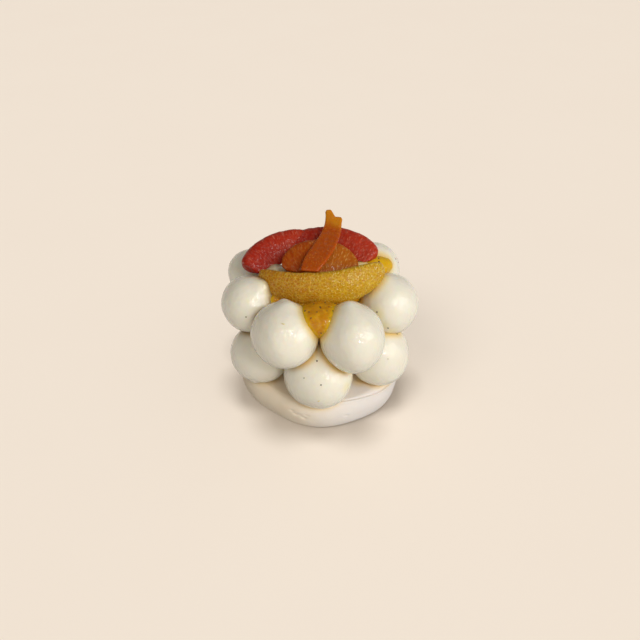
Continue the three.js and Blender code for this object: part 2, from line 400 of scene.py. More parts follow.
@dataclass(frozen=True)
class CreamFinish:
    """Whipped vanilla cream: warm ivory with a moist, crackled skin, with painted shade in its crevices,
    golden towards the right and brown towards the left.
    """

    light: Triple = (0.87, 0.825, 0.72)
    mottle: Triple = (0.85, 0.80, 0.67)
    # Painted shade in the crevices: brown on the shaded left, gold on the lit right, changing over the across
    # span.
    brown: Triple = (0.40, 0.28, 0.13)
    gold: Triple = (0.80, 0.56, 0.18)
    juice: Triple = (0.88, 0.78, 0.42)
    across: Pair = (-16 * MM, -2 * MM)
    crackle: float = 1.4 * MM

    def material(self) -> Material:
        """Builds the material.

        Returns:
            The material.
        """
        shade = Shade("cream")
        colour = shade.blend(shade.grain(5, 3.0), self.light, self.mottle)
        colour = shade.blend(shade.mark(Mark.STAIN) * 0.6, colour, self.juice)
        # Painted shade: the crevice colour, brown on the left and gold on the right, darkens the cream where
        # other pieces are near.
        crease = shade.blend(shade.step(shade.place.split()[0], *self.across), self.brown, self.gold)
        colour = shade.blend(shade.mark(Mark.CREVICE) ** 2.0 * 0.92, colour, crease)
        wrinkle = shade.noise(shade.place * (1.0, 1.0, 0.6), self.crackle, 1.0)
        shade.soften(0.6, 2.6, 1.9, 1.1)
        shade.moisten(0.9, 0.1, shade.bump(wrinkle, 0.36))
        skin = shade.bump(shade.grain(0.8, 1.0), 0.04)
        return shade.dress(Base_Color=colour, Roughness=0.5, Specular_IOR_Level=0.3, Normal=skin)


@dataclass(frozen=True)
class GelFinish:
    """Wet amber gel: deeper where it is thick and brighter at its thin edges, with painted light that
    brightens its right lobe.
    """

    deep: Triple = (0.53, 0.225, 0.004)
    thin: Triple = (0.68, 0.40, 0.007)
    cloud: Triple = (0.64, 0.31, 0.007)
    # Painted light: the span along x over which the right lobe turns to the bright colour.
    lobe: Pair = (18 * MM, 24 * MM)

    def material(self) -> Material:
        """Builds the material.

        Returns:
            The material.
        """
        shade = Shade("gel")
        colour = shade.blend(shade.step(shade.grain(2.2, 3.0), 0.45, 0.7), self.deep, self.cloud)
        colour = shade.blend(shade.mark(Mark.THIN), colour, self.thin)
        # Painted light: the right lobe takes the thin gel's bright colour, standing in for the lamp's light
        # there.
        colour = shade.blend(shade.step(shade.place.split()[0], *self.lobe), colour, self.thin)
        shade.soften(0.5, 3.5, 1.8, 0.4)
        wet = shade.step(shade.grain(1.0, 1.0), 0.50, 0.60)
        shade.moisten(wet, 0.12, shade.bump(shade.grain(1.0, 3.0), 0.3))
        return shade.dress(Base_Color=colour, Roughness=0.4, Specular_IOR_Level=0.12)


@dataclass(frozen=True)
class SacFinish:
    """Citrus flesh: juice sacs with pale walls, some sacs paler than others, and a wet skin, with painted
    shade that darkens one end of each segment.
    """

    name: str
    slot: Slot
    flesh: Triple
    deep: Triple
    wall: Triple
    # fleck is the colour of pale pith flecks, which also stand in for painted glints.
    fleck: Triple
    wall_share: float
    fleck_share: float
    # Painted shade: where along the sacs the shaded deep colour gives way to the lit flesh colour.
    painted_shade_fade: Pair
    wet: Pair
    skin: float
    sac: float = 1.35 * MM

    def material(self) -> Material:
        """Builds the material.

        Returns:
            The material.
        """
        shade = Shade(self.name)
        sacs = shade.mark(Mark.SAC, vector=True)
        edge = shade.cells(sacs, self.sac, feature="DISTANCE_TO_EDGE")
        tone = shade.cells(sacs, self.sac, "Color", feature="F1").split()[0]
        # Painted shade: one end is darkened towards deep, standing in for the shade that falls on that end.
        lit_share = shade.step(sacs.split()[0], *self.painted_shade_fade)
        cloudy = (shade.grain(7) - 0.5) * 0.5
        colour = shade.blend(lit_share + cloudy + (tone - 0.5) * 0.35, self.deep, self.flesh)
        wall = shade.step(edge, 0.13, 0.03) * shade.step(shade.grain(3, 1.0), 0.2, 0.5)
        colour = shade.blend(wall * self.wall_share, colour, self.wall)
        streak = shade.noise(sacs * (1.0, 1.2, 1.0), self.sac * 0.5, 1.5)
        # Pale flecks: partly pith, partly painted glints, so more of them lie at the lit end.
        flecks = shade.step(streak, 0.56, 0.74) * (lit_share * 0.7 + 0.3) * self.fleck_share
        colour = shade.blend(flecks, colour, self.fleck)
        shade.soften(0.4, 2.6, 1.0, 0.4)
        wet = shade.step(shade.grain(1.1, 1.0), *self.wet)
        shade.moisten(wet, 0.13, shade.bump(shade.grain(0.7, 1.0), self.skin))
        return shade.dress(Base_Color=colour, Roughness=0.4, Specular_IOR_Level=0.12)


YELLOW_FLESH = SacFinish(
    "yellow_flesh", Slot.YELLOW, flesh=(0.50, 0.265, 0.005), deep=(0.46, 0.175, 0.004),
    wall=(0.74, 0.52, 0.06), fleck=(0.92, 0.78, 0.32), wall_share=0.45, fleck_share=0.55,
    painted_shade_fade=(22 * MM, -16 * MM), wet=(0.52, 0.60), skin=0.4, sac=1.25 * MM,
)
ORANGE_FLESH = SacFinish(
    "orange_flesh", Slot.ORANGE, flesh=(0.39, 0.10, 0.004), deep=(0.33, 0.048, 0.001),
    wall=(0.48, 0.18, 0.02), fleck=(0.75, 0.42, 0.14), wall_share=0.2, fleck_share=0.6,
    painted_shade_fade=(-6 * MM, 5 * MM), wet=(0.58, 0.66), skin=0.3,
)
RUBY_FLESH = SacFinish(
    "ruby_flesh", Slot.RUBY, flesh=(0.44, 0.032, 0.010), deep=(0.32, 0.014, 0.005),
    wall=(0.50, 0.07, 0.03), fleck=(0.66, 0.22, 0.14), wall_share=0.22, fleck_share=0.6,
    painted_shade_fade=(-14 * MM, 18 * MM), wet=(0.52, 0.60), skin=0.4,
)


@dataclass(frozen=True)
class PeelFinish:
    """Candied peel: a half clear strip, dark where it lies on the fruit and amber at its free end."""

    dark: Triple = (0.41, 0.072, 0.003)
    amber: Triple = (0.55, 0.20, 0.006)
    sugar: Triple = (0.66, 0.24, 0.04)

    def material(self) -> Material:
        """Builds the material.

        Returns:
            The material.
        """
        shade = Shade("candied_peel")
        colour = shade.blend(shade.step(shade.mark(Mark.ALONG), 0.70, 0.92), self.dark, self.amber)
        frost = shade.grain(0.8, 3.0)
        rubbed = shade.step(shade.grain(4, 1.0), 0.40, 0.60)
        colour = shade.blend(shade.step(frost, 0.54, 0.70) * rubbed * 0.6, colour, self.sugar)
        shade.soften(0.4, 2.4, 0.9, 0.2)
        shade.moisten(shade.step(shade.grain(1.4, 1.0), 0.54, 0.62), 0.09, shade.bump(frost, 0.3))
        pores = shade.bump(shade.cells(shade.place, 0.9 * MM, feature="F1"), 0.06)
        return shade.dress(Base_Color=colour, Roughness=0.4, Specular_IOR_Level=0.12, Normal=pores)


@dataclass(frozen=True)
class CloudyFinish:
    """A plain surface whose colour drifts between two. The lump is the drift's size in millimetres."""

    name: str
    first: Triple
    second: Triple
    lump: float
    roughness: float

    def material(self) -> Material:
        """Builds the material.

        Returns:
            The material.
        """
        shade = Shade(self.name)
        colour = shade.blend(shade.grain(self.lump), self.first, self.second)
        return shade.dress(Base_Color=colour, Roughness=self.roughness)


SEED_FINISH = CloudyFinish("vanilla_seed", (0.030, 0.018, 0.010), (0.085, 0.050, 0.025), 0.6, 0.35)
THREAD_FINISH = CloudyFinish("fruit_thread", (0.84, 0.68, 0.30), (0.84, 0.68, 0.30), 1, 0.3)
FLOOR_FINISH = CloudyFinish("floor", (0.935, 0.84, 0.735), (0.925, 0.825, 0.72), 80, 0.85)


# Meshes


def smoothstep(value: np.ndarray | float, low: float, high: float) -> np.ndarray:
    """Rises smoothly from 0 at low to 1 at high."""
    share = np.clip((np.asarray(value) - low) / (high - low), 0.0, 1.0)
    return share * share * (3.0 - 2.0 * share)


def turning(heading: float = 0.0, lean: float = 0.0, roll: float = 0.0) -> np.ndarray:
    """The turn of a piece, as a matrix.

    Args:
        heading: degrees about +Z, which comes last.
        lean: degrees about the piece's own length.
        roll: degrees by which one of its ends is raised, which comes first.

    Returns:
        A 3 by 3 matrix.
    """
    about_z, about_x, about_y = (
        Matrix.Rotation(math.radians(angle), 3, axis)
        for angle, axis in ((heading, "Z"), (lean, "X"), (roll, "Y"))
    )
    return np.array(about_z @ about_x @ about_y)


def new_piece(name: str, points: np.ndarray, faces: Sequence[Sequence[int]]) -> Piece:
    """A mesh object from points and faces, with its faces pointing out.

    Args:
        name: the object's name.
        points: one row for each point, in metres.
        faces: the numbers of each face's points.

    Returns:
        The object, linked to the scene.
    """
    mesh = bpy.data.meshes.new(name)
    mesh.from_pydata(points.tolist(), [], faces)
    mesh.calc_loop_triangles()
    if len(faces):
        corners = points[np.array([t.vertices[:] for t in mesh.loop_triangles])]
        volume = np.einsum("ij,ij->i", corners[:, 0], np.cross(corners[:, 1], corners[:, 2])).sum()
        if volume < 0:
            mesh.flip_normals()
    piece = bpy.data.objects.new(name, mesh)
    bpy.context.scene.collection.objects.link(piece)
    return piece


def lofted(name: str, rings: np.ndarray, first: Sequence[float], last: Sequence[float]) -> Piece:
    """A closed body from rings of points, with a point at each end.

    Args:
        name: the object's name.
        rings: the points, by ring and by place round it.
        first: the point that closes the first ring.
        last: the point that closes the last one.

    Returns:
        The object.
    """
    count, around = rings.shape[:2]
    points = np.vstack([rings.reshape(-1, 3), [first, last]])
    index = np.arange(count * around).reshape(count, around)
    beside = np.roll(index, -1, axis=1)
    quads = np.stack([index[:-1], beside[:-1], beside[1:], index[1:]], axis=-1).reshape(-1, 4)
    start = [(count * around, b, a) for a, b in zip(index[0].tolist(), beside[0].tolist())]
    end = [(count * around + 1, a, b) for a, b in zip(index[-1].tolist(), beside[-1].tolist())]
    return new_piece(name, points, quads.tolist() + start + end)


def store(piece: Piece, mark: Mark, values: np.ndarray) -> None:
    """Stores a number or a vector for each point of a mesh.

    Args:
        piece: the piece whose mesh is marked.
        mark: the mark.
        values: one row or number for each point.
    """
    vector = values.ndim == 2
    attribute = piece.data.attributes.new(mark.value, "FLOAT_VECTOR" if vector else "FLOAT", "POINT")
    attribute.data.foreach_set("vector" if vector else "value", values.astype(np.float32).ravel())


def points_of(piece: Piece) -> np.ndarray:
    """The points of a mesh, one row each.

    Args:
        piece: the piece.

    Returns:
        The points in metres.
    """
    points = np.empty(len(piece.data.vertices) * 3, np.float32)
    piece.data.vertices.foreach_get("co", points)
    return points.reshape(-1, 3).astype(float)


def surface_of(piece: Piece) -> BVHTree:
    """A mesh in a form that can be searched for its nearest point."""
    mesh = piece.data
    return BVHTree.FromPolygons([v.co for v in mesh.vertices], [p.vertices[:] for p in mesh.polygons])


def nearness(piece: Piece, others: Sequence[BVHTree], reach: float) -> np.ndarray:
    """How near each point of a piece is to any of some others.

    Args:
        piece: the piece.
        others: the surfaces of the others.
        reach: the distance at which nearness has faded.

    Returns:
        For each point, 1 at the others' surface and 0 from the reach outwards.
    """
    points = points_of(piece)
    nearest = np.full(len(points), reach)
    for i, point in enumerate(points.tolist()):
        for other in others:
            distance = other.find_nearest(point, nearest[i])[3]
            if distance is not None:
                nearest[i] = distance
    return 1.0 - smoothstep(nearest, 0.0, reach)


def landing(origin: Vector, direction: Vector, surfaces: Surfaces) -> tuple[str, Vector] | None:
    """Where a line of sight first meets the dessert.

    Args:
        origin: its start.
        direction: where it goes.
        surfaces: the surfaces, by the names of their pieces.

    Returns:
        The name of the piece and the point on it, or nothing.
    """
    hits = [(name, tree.ray_cast(origin, direction)) for name, tree in surfaces.items()]
    met = [(hit[3], name, hit[0]) for name, hit in hits if hit[0]]
    return min(met)[1:] if met else None


def join(piece: Piece, slot: Slot | None, *nodes: str) -> Piece:
    """Makes a finished piece part of the dessert.

    Args:
        piece: the piece.
        slot: the record's material slot for it, where it has one; not used.
        *nodes: the solids that it stands for.

    Returns:
        The piece.
    """
    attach(piece, BODY)
    if nodes:
        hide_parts(*nodes)
    stands_for = ", ".join(nodes) or "nothing"
    LOG.info("%s: %d faces, stands for %s", piece.name, len(piece.data.polygons), stands_for)
    return piece


@dataclass(frozen=True)
class Lump:
    """A rounded lump in millimetres: its middle, half-widths, heading, fall, and narrowing towards -Y."""

    middle: Triple
    halves: Triple
    heading: float = 0.0
    fall: float = 0.0
    narrowing: float = 0.0
    rings: int = 34
    around: int = 56

    def build(self) -> Piece:
        """Builds the lump's mesh.

        Returns:
            The object.
        """
        polar = np.linspace(0, np.pi, self.rings)[1:-1, None]
        angle = np.linspace(0, 2 * np.pi, self.around, endpoint=False)
        level = np.cos(polar) + 0 * angle
        ball = np.stack([np.sin(polar) * np.cos(angle), np.sin(polar) * np.sin(angle), level], axis=-1)
        ends = np.array([[0.0, 0, 1], [0, 0, -1]])
        turn = turning(self.heading, self.fall)
        for points in (ball, ends):
            points[..., 0] *= 1 + self.narrowing * points[..., 1]
            points[:] = ((points * self.halves) @ turn.T + self.middle) * MM
        return lofted("lump", ball, ends[0], ends[1])


def merged(name: str, parts: Sequence[Piece], voxel: float, smoothing: int) -> Piece:
    """Melts overlapping bodies into one.

    Args:
        name: the name of the result.
        parts: the bodies.
        voxel: the fineness of the result.
        smoothing: how often its surface is smoothed.

    Returns:
        One object.
    """
    piece = parts[0]
    with bpy.context.temp_override(active_object=piece, selected_editable_objects=list(parts)):
        bpy.ops.object.join()
    piece.name = name
    remesh = piece.modifiers.new("one_body", "REMESH")
    remesh.mode = "VOXEL"
    remesh.voxel_size = voxel
    smooth = piece.modifiers.new("soft", "SMOOTH")
    smooth.iterations = smoothing
    return plain(piece)


# Meringue


@dataclass
class Meringue:
    """The round meringue under the cream: flat below, with a soft rim and a crease round its top."""

    radius: float = 38 * MM
    foot_radius: float = 35.4 * MM
    shoulder_radius: float = 33.5 * MM
    height: float = 13 * MM
    waves: tuple[Triple, ...] = ((2, 0.012, 0.6), (3, 0.011, -0.4), (7, 0.006, 0.0))
    bulges: tuple[Triple, ...] = ((-41, 22, -0.055), (50, 18, 0.022))
    crease_bearings: Pair = (8.0, 64.0)
    crease_levels: Pair = (88.0, 38.0)
    crease_depth: float = 0.5 * MM
    crease_width: float = 4.0
    dimples: tuple[Triple, ...] = (
        (-17, 8, 0.5), (-14, 12, 0.4), (-11, 2, 0.6), (-9, 15, 0.35), (-20, 20, 0.4), (18, 5, 0.4),
    )
    dimple_width: float = 1.8
    around: int = 480
    rim_steps: int = 72
    flat_steps: int = 20

    def profile(self) -> np.ndarray:
        """Radius and height along the section, from the middle of the underside to that of the top.

        Returns:
            One row for each point, in metres.
        """
        half = self.height / 2
        angles = np.linspace(-np.pi / 2, np.pi / 2, self.rim_steps)
        inner = np.where(angles < 0, self.foot_radius, self.shoulder_radius)
        rim = np.stack([inner + (self.radius - inner) * np.cos(angles), half + half * np.sin(angles)], axis=1)
        flat = np.linspace(0.06, 1.0, self.flat_steps, endpoint=False)
        under = np.stack([flat * self.foot_radius, np.zeros(self.flat_steps)], axis=1)
        top = np.stack([flat[::-1] * self.shoulder_radius, np.full(self.flat_steps, self.height)], axis=1)
        return np.vstack([under, rim, top])

    def hollows(self, bearing: np.ndarray, level: np.ndarray) -> np.ndarray:
        """How far the skin is sunk in, at the crease and the dimples.

        Args:
            bearing: degrees from the front towards +X.
            level: degrees up the rounded rim, from -90 at its foot to 90 at its shoulder.

        Returns:
            The depth in metres.
        """
        start, stop = self.crease_bearings
        share = np.clip((bearing - start) / (stop - start), 0, 1)
        line = self.crease_levels[0] + (self.crease_levels[1] - self.crease_levels[0]) * share
        within = smoothstep(bearing, start - 6, start + 4) * (1 - smoothstep(bearing, stop - 8, stop + 8))
        offset = (level - line) / self.crease_width
        depth = self.crease_depth * within * (np.exp(-(offset**2)) - 0.7 * np.exp(-((offset + 2.4) ** 2)))
        for at, up, deep in self.dimples:
            away = ((bearing - at) / self.dimple_width) ** 2 + ((level - up) / (3 * self.dimple_width)) ** 2
            depth = depth + deep * MM * np.exp(-away)
        return depth

    def build(self) -> Piece:
        """Builds the meringue's mesh and dresses it.

        Returns:
            The object.
        """
        profile = self.profile()
        angle = np.linspace(0, 2 * np.pi, self.around, endpoint=False)
        bearing = (np.degrees(angle) + 90 + 180) % 360 - 180
        swell = 1.0 + sum(height * np.sin(count * angle + phase) for count, height, phase in self.waves)
        swell += sum(height * np.exp(-(((bearing - at) / width) ** 2)) for at, width, height in self.bulges)
        level = np.pad(np.linspace(-90, 90, self.rim_steps), self.flat_steps, mode="edge")
        level[-self.flat_steps:] += np.linspace(0, 60, self.flat_steps)
        inward = self.hollows(bearing[None, :], level[:, None])
        slope = np.radians(np.clip(level, -90, 90))[:, None]
        radius = profile[:, :1] * swell[None, :] - inward * np.cos(slope)
        height = profile[:, 1:] - inward * np.sin(slope)
        rings = np.stack([radius * np.cos(angle), radius * np.sin(angle), height], axis=-1)
        piece = lofted("meringue_disc", rings, (0, 0, 0), (0, 0, self.height))
        tree = FormTree("baked_skin", coarse=float, coarse_size=float, fine=float, fine_size=float)
        raised = tree.step(tree.place.split()[2], 0.3 * MM, 3 * MM)
        coarse = (tree.input("coarse") * raised, tree.input("coarse_size"))
        fine = (tree.input("fine") * raised, tree.input("fine_size"))
        tree.close(tree.relief(tree.input("Geometry"), coarse, fine))
        return tree.make(
            piece,
            coarse=0.45 * MM,
            coarse_size=13 * MM,
            fine=0.06 * MM,
            fine_size=2.4 * MM,
            material=MeringueFinish().material(),
        )


# Cream


@dataclass(frozen=True)
class Lip:
    """A small lip on a dollop: its direction from the dollop's middle, how high, and how broad."""

    towards: Triple = (0.0, 0.0, 1.0)
    height: float = 0.0
    breadth: float = 0.2


@dataclass(frozen=True)
class Dollop:
    """One piped ball: bearing from the front, distance from the middle, and half-widths."""

    bearing: float
    ring: float
    size: Triple
    raised: float = 0.0
    lip: Lip = Lip()


@dataclass
class Cream:
    """The two tiers of piped dollops, and the cream behind them."""

    lower_height: float = 25 * MM
    upper_height: float = 47 * MM
    nod: float = 14.0
    tip: float = 0.08
    tip_spread: float = 0.28
    unevenness: float = 0.018
    variety: float = 1.7
    core_radius: float = 21 * MM
    core_bottom: float = 12.6 * MM
    core_top: float = 52.5 * MM
    core_steps: int = 60
    core_around: int = 120
    core_squareness: int = 14
    between_fruit: tuple[Lump, ...] = (
        Lump((-19.6, 2.4, 57.4), (6.6, 5.0, 3.8), heading=20),
        Lump((18.6, 6.0, 58.0), (5.0, 3.6, 3.2)),
    )
    lower: tuple[Dollop, ...] = (
        Dollop(-1, 29.4, (14.6, 15.0, 14.4)),
        Dollop(62, 30.2, (13.4, 14.8, 15.0)),
        Dollop(119, 31.0, (14.2, 14.8, 14.2)),
        Dollop(179, 30.4, (14.4, 15.6, 14.0)),
        Dollop(-121, 31.0, (13.8, 15.0, 13.8)),
        Dollop(-63, 30.0, (13.4, 13.8, 13.8), lip=Lip((-2.8, -6.7, -9.0), 0.05, 0.14)),
    )
    upper: tuple[Dollop, ...] = (
        Dollop(-27, 32.4, (14.4, 14.6, 14.0), lip=Lip((-0.6, 7.7, 14.0), 0.07, 0.16)),
        Dollop(23.5, 33.4, (15.2, 13.6, 15.0)),
        Dollop(78, 31.0, (13.4, 13.6, 13.6)),
        Dollop(128, 32.2, (12.4, 12.4, 13.8), 0.8),
        Dollop(-178, 30.5, (14.4, 16.0, 12.4)),
        Dollop(-123, 36.4, (13.2, 13.4, 10.4), -1.4),
        Dollop(-78, 31.4, (13.3, 13.2, 12.4), lip=Lip((7.4, -3.0, 13.0), 0.24, 0.26)),
    )

    def tree(self) -> FormTree:
        """The form of one dollop: an uneven ball with a small peak and a lip.

        Returns:
            The tree.
        """
        tree = FormTree(
            "piped_dollop",
            half_widths=tuple,
            middle=tuple,
            turn=tuple,
            variety=float,
            lip_towards=tuple,
            lip_height=float,
            lip_sharpness=float,
            detail=int,
        )
        ball = tree.field("GeometryNodeMeshIcoSphere", {"Radius": 1.0, "Subdivisions": tree.input("detail")})
        x, y, z = tree.place.split()
        from_tip = tree.reckon("ARCCOSINE", tree.reckon("MAXIMUM", tree.reckon("MINIMUM", z, 1.0), -1.0))
        around = tree.reckon("ARCTAN2", y, x)
        variety = tree.input("variety")
        peak = tree.reckon("EXPONENT", (from_tip / self.tip_spread) ** 2.0 * -1.0) * self.tip
        lobes = tree.reckon("SINE", around * 2.0 + variety)
        lobes = lobes + tree.reckon("SINE", around * 3.0 - variety * 2.0)
        uneven = lobes * tree.reckon("SINE", from_tip) ** 2.0 * self.unevenness
        feeds = {0: tree.place, 1: tree.input("lip_towards")}
        off_lip = tree.field("ShaderNodeVectorMath", feeds, 1, operation="DOT_PRODUCT") - 1.0
        lip = tree.reckon("EXPONENT", off_lip * tree.input("lip_sharpness")) * tree.input("lip_height")
        swell = 1.0 + peak + uneven + lip
        formed = tree.moved(ball, Position=tree.place * tree.input("half_widths") * swell)
        feeds = {0: formed, "Translation": tree.input("middle"), "Rotation": tree.input("turn")}
        placed = tree.field("GeometryNodeTransform", feeds)
        return tree.close(tree.relief(placed, (0.30 * MM, 8 * MM), (0.02 * MM, 2.0 * MM)))

    def tier(self, prefix: str, dollops: Sequence[Dollop], height: float, tree: FormTree,
             material: Material) -> list[Piece]:
        """Builds the dollops of one tier.

        Args:
            prefix: the solids' names without their numbers.
            dollops: the dollops, from the front and on round by +X.
            height: the height of their middles.
            tree: the form of a dollop.
            material: their finish.

        Returns:
            One object for each dollop, named after its solid.
        """
        made = []
        for i, dollop in enumerate(dollops):
            heading = math.radians(dollop.bearing - 90)
            ring = dollop.ring * MM
            empty = new_piece(f"{prefix}_{i + 1}_piped", np.zeros((0, 3)), [])
            local = turning(math.degrees(heading), roll=-self.nod).T @ np.array(dollop.lip.towards)
            tree.make(
                empty,
                half_widths=[half * MM for half in dollop.size],
                middle=[ring * math.cos(heading), ring * math.sin(heading), height + dollop.raised * MM],
                turn=[0.0, math.radians(-self.nod), heading],
                variety=self.variety * i,
                lip_towards=list(Vector(local / dollop.size).normalized()),
                lip_height=dollop.lip.height,
                lip_sharpness=2 / dollop.lip.breadth**2,
                detail=6,
                material=material,
            )
            made.append(empty)
        return made

    def core(self, material: Material) -> Piece:
        """The cream behind the dollops: a lumpy column with a rounded top.

        Args:
            material: its finish.

        Returns:
            The object.
        """
        share = np.linspace(0, 1, self.core_steps)
        height = self.core_bottom + (self.core_top - self.core_bottom) * share
        radius = self.core_radius * np.sqrt(np.clip(1 - share**self.core_squareness, 0, 1)) + 0.2 * MM
        angle = np.linspace(0, 2 * np.pi, self.core_around, endpoint=False)
        radius, height = radius[:, None], height[:, None]
        rings = np.stack([radius * np.cos(angle), radius * np.sin(angle), height + 0 * angle], axis=-1)
        column = lofted("column", rings, (0, 0, self.core_bottom), (0, 0, self.core_top))
        piece = merged("cream_middle", [column, *(lump.build() for lump in self.between_fruit)], 0.7 * MM, 3)
        tree = FormTree("spooned_cream")
        tree.close(tree.relief(tree.input("Geometry"), (1.1 * MM, 8 * MM), (0.12 * MM, 2 * MM)))
        return tree.make(piece, material=material)


# Gel


@dataclass
class Gel:
    """The gel that fills the middle, runs down the front and pushes out between the dollops."""

    lumps: tuple[Lump, ...] = (
        Lump((0, 0, 52), (19.5, 19.5, 8.5)),
        Lump((0.4, -24.3, 51.6), (12.2, 11.5, 7.6), fall=-26.6, narrowing=-0.22),
        Lump((23.5, 9.0, 56.2), (9.8, 6.0, 4.8), heading=16),
        Lump((-16.8, -9.0, 51.5), (7.0, 4.0, 4.0), heading=28),
    )
    voxel: float = 0.42 * MM
    smoothing: int = 8

    def build(self) -> Piece:
        """Builds the gel as one wet, uneven body.

        Returns:
            The object.
        """
        piece = merged("citrus_gel_poured", [lump.build() for lump in self.lumps], self.voxel, self.smoothing)
        tree = FormTree("gel_skin")
        tree.close(tree.relief(tree.input("Geometry"), (0.5 * MM, 5 * MM), (0.10 * MM, 1.6 * MM)))
        return tree.make(piece, material=GelFinish().material())


# Citrus


@dataclass(frozen=True)
class Segment:
    """A peeled citrus segment, in millimetres and degrees: its size, how it bends, and its place."""

    node: str
    finish: SacFinish
    length: float
    depth: float
    thickness: float
    bend: float
    bluntness: Pair
    at: Triple
    heading: float = 0.0
    lean: float = 0.0
    roll: float = 0.0
    twist: float = 0.0
    thinning: float = 0.42
    fullest: float = 0.69
    flatness: float = 1.0
    along_steps: int = 170
    around_steps: int = 150
    sac_stretch: float = 4.5
    bulge: float = 0.09

    def surface(self, polar: np.ndarray, angle: np.ndarray) -> tuple[np.ndarray, np.ndarray]:
        """Points of the segment's skin and their places among the sacs.

        Args:
            polar: the angle from the -X end, from 0 to pi.
            angle: the angle round the segment, from the rounded back.

        Returns:
            Points in metres in the row's frame, and places among the sacs in metres.
        """
        along = -np.cos(polar)
        blunt = np.where(along < 0, self.bluntness[0], self.bluntness[1])
        fill = np.sin(polar) ** blunt
        wedge = (1 - self.thinning + self.thinning * np.cos(angle)) / self.fullest
        outward = self.depth / 2 * np.cos(angle) * fill
        side = np.sign(np.sin(angle)) * np.abs(np.sin(angle)) ** self.flatness
        across = self.thickness / 2 * side * wedge * fill
        half_arc = math.asin(self.length / 2 / self.bend)
        twist = math.radians(self.twist)
        out = outward * math.cos(twist) - across * math.sin(twist)
        up = outward * math.sin(twist) + across * math.cos(twist)
        turn = along * half_arc + across * 0
        reach = self.bend + out
        local = np.stack([reach * np.sin(turn), reach * np.cos(turn) - self.bend, up], axis=-1)
        points = local @ turning(self.heading, self.lean, self.roll).T + self.at
        places = np.stack([turn * self.bend, outward / self.sac_stretch, across], axis=-1)
        return points * MM, places * MM

    def build(self, tree: FormTree) -> Piece:
        """Builds the segment with its sacs standing out.

        Args:
            tree: the relief of the sacs.

        Returns:
            The object.
        """
        polar = np.linspace(0, np.pi, self.along_steps)[1:-1, None]
        angle = np.linspace(0, 2 * np.pi, self.around_steps, endpoint=False)[None, :]
        rings, places = self.surface(polar, angle)
        ends, end_places = self.surface(np.array([1e-6, np.pi - 1e-6]), np.array([0.0, 0.0]))
        piece = lofted(f"{self.node}_peeled", rings, ends[0], ends[1])
        store(piece, Mark.SAC, np.vstack([places.reshape(-1, 3), end_places]))
        return tree.make(piece, sac=self.finish.sac, bulge=self.bulge * MM, material=self.finish.material())


@dataclass
class Fruit:
    """The four peeled segments on top."""

    segments: tuple[Segment, ...] = (
        Segment("yellow_segment", YELLOW_FLESH, 53.2, 13.5, 16.0, 40, (0.73, 0.62),
                (0.2, -11.4, 59.3), 178.2, -10, 7, twist=18.3, along_steps=230, around_steps=190),
        Segment("orange_segment", ORANGE_FLESH, 32.0, 18.2, 7.6, 26, (1.2, 1.1),
                (0.0, 1.6, 65.4), 0, 24, 5, flatness=0.55, thinning=0.15, fullest=0.86),
        Segment("ruby_segment_left", RUBY_FLESH, 30.2, 15.5, 9.4, 31, (0.37, 0.25),
                (-20.0, 12.4, 63.1), 33, 17, -10),
        Segment("ruby_segment_right", RUBY_FLESH, 36.4, 15.3, 8.6, 28.5, (0.25, 0.48),
                (6.9, 16.8, 64.7), -10.3, 16, 3),
    )

    @staticmethod
    def tree() -> FormTree:
        """The relief of juice sacs: each swells between its walls.

        Returns:
            The tree.
        """
        tree = FormTree("juice_sacs", sac=float, bulge=float)
        named = {"Name": Mark.SAC.value}
        sacs = tree.field("GeometryNodeInputNamedAttribute", named, data_type="FLOAT_VECTOR")
        edge = tree.cells(sacs, tree.input("sac"), feature="DISTANCE_TO_EDGE")
        tone = tree.cells(sacs, tree.input("sac"), "Color", feature="F1").split()[0]
        lift = (0.5 - tree.step(edge, 0.0, 0.30) + (tone - 0.5) * 1.2) * tree.input("bulge")
        swollen = tree.moved(tree.input("Geometry"), Offset=tree.normal * lift)
        return tree.close(tree.relief(swollen, (0.35 * MM, 5 * MM), (0.04 * MM, 0.9 * MM)))

    def build(self) -> dict[str, Piece]:
        """Builds the segments, by the name of their solids."""
        tree = self.tree()
        return {segment.node: segment.build(tree) for segment in self.segments}


# Candied peel


